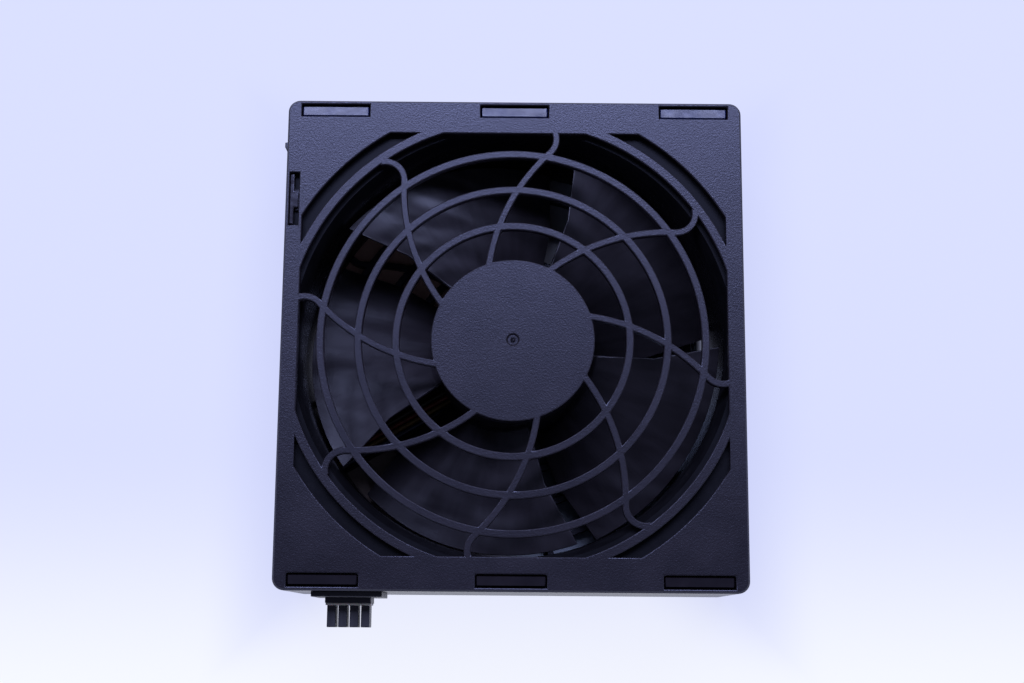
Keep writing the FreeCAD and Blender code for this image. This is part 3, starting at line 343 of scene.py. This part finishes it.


# The leads' colours are painted darker than the PVC's own: painted shade.
lead_colours_with_painted_shade = {
    "black": ((0.008, 0.008, 0.009), (0.013, 0.013, 0.014)),
    "red": ((0.110, 0.008, 0.006), (0.170, 0.012, 0.009)),
    "yellow": ((0.110, 0.060, 0.010), (0.160, 0.092, 0.014)),
    "blue": ((0.008, 0.016, 0.065), (0.011, 0.023, 0.095)),
}
lead_pitch = 0.0015
lead_radius = 0.00065
strut = heading(210)
beside_strut = heading(300)
mitre = heading(330) / math.cos(math.radians(30))
channel = Vector((0, 0, 0.0059))
knee = strut * 0.0625 + channel
plug_x, plug_z, plug_pitch = -0.043, 0.031, 0.003
for number, (colour, shades) in enumerate(lead_colours_with_painted_shade.items()):
    side = number - 1.5
    row = side * lead_pitch
    silo_x = plug_x + side * plug_pitch
    route = [
        strut * 0.0155 + channel + beside_strut * row,
        strut * 0.0478 + channel + beside_strut * row,
        knee + mitre * row,
        Vector((knee.x + row, -0.046, channel.z)),
        Vector((knee.x + 0.002 + row * 1.1, -0.0535, 0.0129)),
        Vector((-0.0475 + row * 1.5, -0.0545, 0.0225)),
        Vector((silo_x, -0.055, plug_z)),
        Vector((silo_x, -0.066, plug_z)),
    ]
    lead_data = bpy.data.curves.new(f"lead_{colour}_wire", "CURVE")
    lead_data.dimensions = "3D"
    line = lead_data.splines.new("NURBS")
    line.points.add(len(route) - 1)
    for point, place in zip(line.points, route):
        point.co = (*place, 1)
    line.order_u = 3
    line.use_endpoint_u = True
    lead_data.resolution_u = 16
    lead_data.bevel_depth = lead_radius
    lead_data.bevel_resolution = 5
    lead_data.use_fill_caps = True
    lead_data.materials.append(insulation(f"lead_{colour}_insulation", *shades))
    lead = bpy.data.objects.new(f"lead_{colour}_wire", lead_data)
    bpy.context.collection.objects.link(lead)
    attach(lead, "module")
    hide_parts(f"lead_{colour}")


# --- Steel parts ------------------------------------------------------------------------------------
# Shaft, bearing rings, washer and clip of ground steel with fine turning lines and a film of oil, and
# the rotor's pressed yoke, which is zinc-plated, duller and slightly cloudy.

def ground_steel(name, dark, light, polish, lines_per_metre):
    material, shader, place = finish(name, Metallic=1.0)
    angle, radius, height = place.polar()
    lines = place.vector(angle * 2, radius * lines_per_metre, height * lines_per_metre).noise(1.0, 3)
    oil = place.noise(320, 4, 0.6)
    stain = place.noise(140, 5, 0.7).ramp(0.58, 0.75)
    colour = lines.ramp(0.3, 0.7).blend(dark, light)
    coat(shader, (stain * 0.4).blend(colour, (0.16, 0.13, 0.10)),
         polish + lines * 0.14 + oil * 0.08 + stain * 0.15,
         bump=lines * 0.6 + oil * 0.2, depth=0.000012)
    return material


def dress(nodes, material):
    """Paints CAD nodes through their objects' material slots."""
    for node in nodes:
        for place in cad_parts[node].material_slots:
            place.link = "OBJECT"
            place.material = material


dress(("shaft", "lower_bearing_inner_ring", "lower_bearing_outer_ring", "upper_bearing_inner_ring",
       "upper_bearing_outer_ring", "preload_washer", "retaining_clip"),
      ground_steel("ground_steel", (0.36, 0.36, 0.37), (0.52, 0.52, 0.53), 0.18, 9000))
dress(("rotor_yoke",), ground_steel("zinc_plate", (0.30, 0.31, 0.33), (0.44, 0.45, 0.46), 0.40, 2600))


# --- Shaft boss -------------------------------------------------------------------------------------
# Boss that holds the shaft in the middle of the rotor, turned from brass bar. Tool marks run round it,
# under a dull tarnish.

def turned_brass():
    material, shader, place = finish("turned_brass", Metallic=1.0)
    angle, radius, height = place.polar()
    marks = place.vector(angle * 2, radius * 7000, height * 7000).noise(1.0, 3)
    tarnish = place.noise(260, 5, 0.65).ramp(0.45, 0.72)
    colour = tarnish.blend((0.62, 0.43, 0.17), (0.30, 0.19, 0.075))
    coat(shader, colour, 0.24 + marks * 0.14 + tarnish * 0.18, bump=marks, depth=0.000015)
    return material


dress(("shaft_boss",), turned_brass())


# --- Magnet ring ------------------------------------------------------------------------------------
# Ring magnet glued inside the rotor's yoke, round the stator. Bonded ferrite, dark grey and matt, with
# fine pores and a few chipped specks.

def bonded_ferrite():
    material, shader, place = finish("bonded_ferrite", Specular_IOR_Level=0.35)
    pores = place.node("ShaderNodeTexVoronoi", {"Vector": place, "Scale": 2600.0}, feature="F1")
    cloud = place.noise(500, 4)
    chips = place.noise(1400, 3).ramp(0.66, 0.74)
    colour = cloud.ramp(0.3, 0.7).blend((0.022, 0.021, 0.023), (0.036, 0.034, 0.037))
    coat(shader, (chips * 0.7).blend(colour, (0.09, 0.085, 0.085)), 0.58 + cloud * 0.15,
         bump=pores * 0.8 + chips * -0.4, depth=0.00004)
    return material


dress(("magnet_ring",), bonded_ferrite())


# --- Stator core ------------------------------------------------------------------------------------
# Stack of 0.5 mm silicon-steel sheets on the motor's base. Each sheet's edge shows as a line, in a tone
# of its own, under a coat of varnish.

def sheet_stack():
    material, shader, place = finish("sheet_stack", Metallic=0.85)
    height = place.axes()[2]
    joint = (height * (math.tau / 0.0005)).math("SINE").ramp(0.55, 1.0)
    tone = place.vector(0.0, 0.0, height * 2000).noise(1.0, 0)
    varnish = place.noise(380, 4, 0.6)
    colour = tone.ramp(0.3, 0.7).blend((0.13, 0.13, 0.14), (0.22, 0.22, 0.23))
    colour = (joint * 0.75).blend(colour, (0.03, 0.027, 0.025))
    coat(shader, colour, 0.38 + varnish * 0.18 + joint * 0.15, bump=varnish * 0.3 - joint * 0.8,
         depth=0.00004)
    return material


dress(("stator_core",), sheet_stack())


# --- Bobbins ----------------------------------------------------------------------------------------
# The two halves of the coil former, one above and one below the core. Natural nylon, waxy and a little
# cloudy, as the retainer is.

dress(("lower_bobbin", "upper_bobbin"), natural_nylon("bobbin_nylon"))


# --- Windings ---------------------------------------------------------------------------------------
# Coils of 0.25 mm enamelled copper wire, wound round each tooth in layers, so that the turns show as
# ridges, with clear red-brown enamel over bright copper and painted shade in the grooves between turns.

def enamelled_wire():
    material, shader, place = finish("enamelled_wire", Metallic=0.9, Coat_Weight=0.5, Coat_Roughness=0.2)
    radius = place.polar()[1]
    sway = place.noise(500, 2) * 0.00012
    turns = ((radius + sway) * (math.tau / 0.00027)).math("SINE")
    colour = place.noise(260, 4, 0.6).ramp(0.3, 0.7).blend((0.32, 0.095, 0.035), (0.52, 0.19, 0.07))
    # Painted shade in the grooves between the turns.
    colour = turns.ramp(-1.0, 0.0, 0.7, 0.0).blend(colour, (0.06, 0.02, 0.01))
    coat(shader, colour, 0.28 + turns * -0.08, bump=turns, depth=0.00008)
    return material


dress(("stator_windings",), enamelled_wire())


# --- Circuit board ----------------------------------------------------------------------------------
# Round board under the stator, which carries the motor's driver. Green solder mask covers the copper,
# whose pattern shows through as a lighter relief, with a ring of plated pads and traces of flux.

def solder_mask():
    material, shader, place = finish("solder_mask", Coat_Weight=0.4, Coat_Roughness=0.15)
    angle, radius = place.polar()[:2]
    tracks = place.node("ShaderNodeTexVoronoi", {"Vector": place, "Scale": 330.0},
                        feature="DISTANCE_TO_EDGE").ramp(0.06, 0.10)
    weave = place.noise(1800, 2)
    flux = place.noise(240, 4, 0.7).ramp(0.55, 0.7)
    pads = ((angle * 9).math("SINE").ramp(0.86, 0.93)
            * radius.ramp(0.0163, 0.0165) * (1 - radius.ramp(0.0176, 0.0178)))
    colour = tracks.blend((0.010, 0.060, 0.022), (0.018, 0.115, 0.045))
    colour = (flux * 0.35).blend(colour, (0.09, 0.085, 0.03))
    colour = pads.blend(colour, (0.48, 0.46, 0.42))
    coat(shader, colour, 0.34 + weave * 0.10 + flux * 0.15, metallic=pads * 0.9,
         bump=tracks * 0.5 + weave * 0.15 + pads, depth=0.00004)
    return material


dress(("circuit_board",), solder_mask())


# --- Chips ------------------------------------------------------------------------------------------
# Driver chip and Hall sensor, soldered to the board. They are cast in black moulding compound, finely
# matt, with pale specks of filler.

def moulding_compound():
    material, shader, place = finish("moulding_compound", Specular_IOR_Level=0.4)
    grain = place.noise(4200, 3, 0.6)
    cloud = place.noise(700, 3)
    colour = grain.ramp(0.4, 0.8).blend((0.013, 0.013, 0.014), (0.034, 0.034, 0.035))
    coat(shader, colour, 0.52 + cloud * 0.2, bump=grain, depth=0.00002)
    return material


dress(("driver_chip", "hall_sensor"), moulding_compound())


# --- Capacitor --------------------------------------------------------------------------------------
# Capacitor that stands on the circuit board. Its can is drawn from aluminium, with fine draw lines and a
# slight haze.

def drawn_can():
    material, shader, place = finish("drawn_can", Metallic=1.0)
    x, y, z = place.axes()
    scratches = place.vector(x * 3200, y * 260, z * 260).noise(1.0, 3)
    haze = place.noise(420, 4)
    colour = haze.ramp(0.3, 0.7).blend((0.48, 0.48, 0.49), (0.64, 0.64, 0.65))
    coat(shader, colour, 0.24 + scratches * 0.18 + haze * 0.06, bump=scratches, depth=0.000012)
    return material


dress(("board_capacitor",), drawn_can())


# --- Terminals --------------------------------------------------------------------------------------
# Contacts in the plug, stamped from phosphor bronze and tinned. Slide marks run along the insertion, and
# a bronze tone shows where the tin has rubbed off.

def tinned_bronze():
    material, shader, place = finish("tinned_bronze", Metallic=1.0)
    x, y, z = place.axes()
    slides = place.vector(x * 5200, y * 180, z * 5200).noise(1.0, 3)
    worn = place.noise(650, 4, 0.65).ramp(0.52, 0.68)
    colour = worn.blend((0.56, 0.55, 0.53), (0.46, 0.31, 0.15))
    coat(shader, colour, 0.22 + slides * 0.2 + worn * 0.1, bump=slides, depth=0.000012)
    return material


dress(("connector_terminals",), tinned_bronze())


# --- Stage ------------------------------------------------------------------------------------------
# Pale floor that the module lies on, which shows its own colour to the lens and keeps a share of the
# module's shadow, with painted shadow beside the module, painted shade under it and painted light that
# brightens it towards the bottom; a broad soft key light from beyond the upper edge, a sky that is pale
# near the horizon and dim above, and the camera over the module's lower edge.

def stage_rays(place):
    """1 for the rays that bring the stage to the lens: straight, mirrored, or through something clear."""
    path = place.node("ShaderNodeLightPath", {}).socket.node
    straight, mirrored, clear = (Signal(place.tree, path.outputs[name]) for name in
                                 ("Is Camera Ray", "Is Glossy Ray", "Is Transmission Ray"))
    return (straight + mirrored + clear).math("MINIMUM", 1.0)


floor_data = bpy.data.meshes.new("floor")
sheet = bmesh.new()
bmesh.ops.create_grid(sheet, x_segments=1, y_segments=1, size=4.0)
bmesh.ops.translate(sheet, vec=(0, 0, -0.0003), verts=sheet.verts)
sheet.to_mesh(floor_data)
sheet.free()
floor = bpy.data.objects.new("floor", floor_data)
bpy.context.collection.objects.link(floor)
floor_finish, floor_shader, floor_place = finish("floor", Roughness=0.8, Specular_IOR_Level=0.1)
floor_tree = floor_finish.node_tree
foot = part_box("rear_shell")[1] - Vector((0.00425, 0.0042, 0))
x, y = floor_place.axes()[:2]
across, along = x.math("ABSOLUTE"), y.math("ABSOLUTE")
edge = (across - foot.x).math("MAXIMUM", along - foot.y)
outside = edge.ramp(-0.004, 0.002)
# Painted shadow on the floor along the module's left and right sides.
painted_shadow_beside = edge.ramp(0.0, 0.032, 1.0, 0.0) * (across - along).ramp(-0.035, 0.015)
# Painted light: the floor's glow is brighter towards the bottom edge and darker from just below the middle
# up.
backdrop_painted_light_and_shade = y.ramp(-0.105, -0.02).blend((0.905, 0.925, 1.0), (0.668, 0.705, 0.970))
backdrop_painted_light_and_shade = (painted_shadow_beside * 0.8).blend(backdrop_painted_light_and_shade, (0.560, 0.600, 0.900))
# Painted shade on the floor's colour under the module: brown at the upper left, grey-mauve lower down, blue
# on the right.
right, lower = x.ramp(-0.02, 0.02), y.ramp(-0.02, 0.0, 1.0, 0.0)
painted_shade_under = lower.blend((0.560, 0.370, 0.360), (0.260, 0.220, 0.250))
painted_shade_under = right.blend(painted_shade_under, (0.280, 0.320, 0.430))
painted_shade_under = (right * lower).blend(painted_shade_under, (0.190, 0.225, 0.330))
floor_tree.links.new(outside.blend(painted_shade_under, (0.74, 0.76, 0.86)).socket,
                     floor_shader.inputs["Base Color"])
glow = backdrop_painted_light_and_shade.node("ShaderNodeEmission", {"Color": backdrop_painted_light_and_shade, "Strength": 1.07})
shaded = Signal(floor_tree, floor_shader.outputs["BSDF"])
surface = glow.node("ShaderNodeMixShader", {0: stage_rays(floor_place) * outside * 0.93, 1: shaded, 2: glow})
floor_tree.links.new(surface.socket, floor_tree.nodes["Material Output"].inputs["Surface"])
floor_data.materials.append(floor_finish)

world = bpy.data.worlds.new("sky")
world.use_nodes = True
bpy.context.scene.world = world
sky_tree = world.node_tree
sky_place = Signal(sky_tree, sky_tree.nodes.new("ShaderNodeTexCoord").outputs["Generated"])
pale = stage_rays(sky_place) * sky_place.axes()[2].ramp(0.25, 0.50, 1.0, 0.0)
sky = sky_tree.nodes["Background"]
sky_tree.links.new(pale.blend((0.10, 0.105, 0.13), (0.80, 0.82, 1.0)).socket, sky.inputs["Color"])
sky.inputs["Strength"].default_value = 1.0

key_data = bpy.data.lights.new("key", "AREA")
key_data.shape = "RECTANGLE"
key_data.size = 1.2
key_data.size_y = 0.36
key_data.energy = 19
key_data.color = (0.74, 0.78, 1.0)
key = bpy.data.objects.new("key", key_data)
key.location = (-0.03, 0.67, 1.02)
key.rotation_mode = "QUATERNION"
key.rotation_quaternion = (-key.location).to_track_quat("-Z", "Y")
bpy.context.collection.objects.link(key)

centre = Vector((0, 0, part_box("front_shell")[1].z))
camera_data = bpy.data.cameras.new("camera")
camera_data.sensor_width = 36
camera_data.lens = 54
camera_data.shift_x = -0.00088
camera_data.shift_y = -0.00186
camera_data.clip_start = 0.01
camera = bpy.data.objects.new("camera", camera_data)
camera.location = centre + Vector((0, -0.0763, 0.4039))
camera.rotation_mode = "QUATERNION"
aim = (centre - camera.location).to_track_quat("-Z", "Y")
camera.rotation_quaternion = aim @ Quaternion((0, 0, 1), math.radians(0.45))
bpy.context.collection.objects.link(camera)
bpy.context.scene.camera = camera
bpy.context.scene.view_settings.view_transform = "Standard"
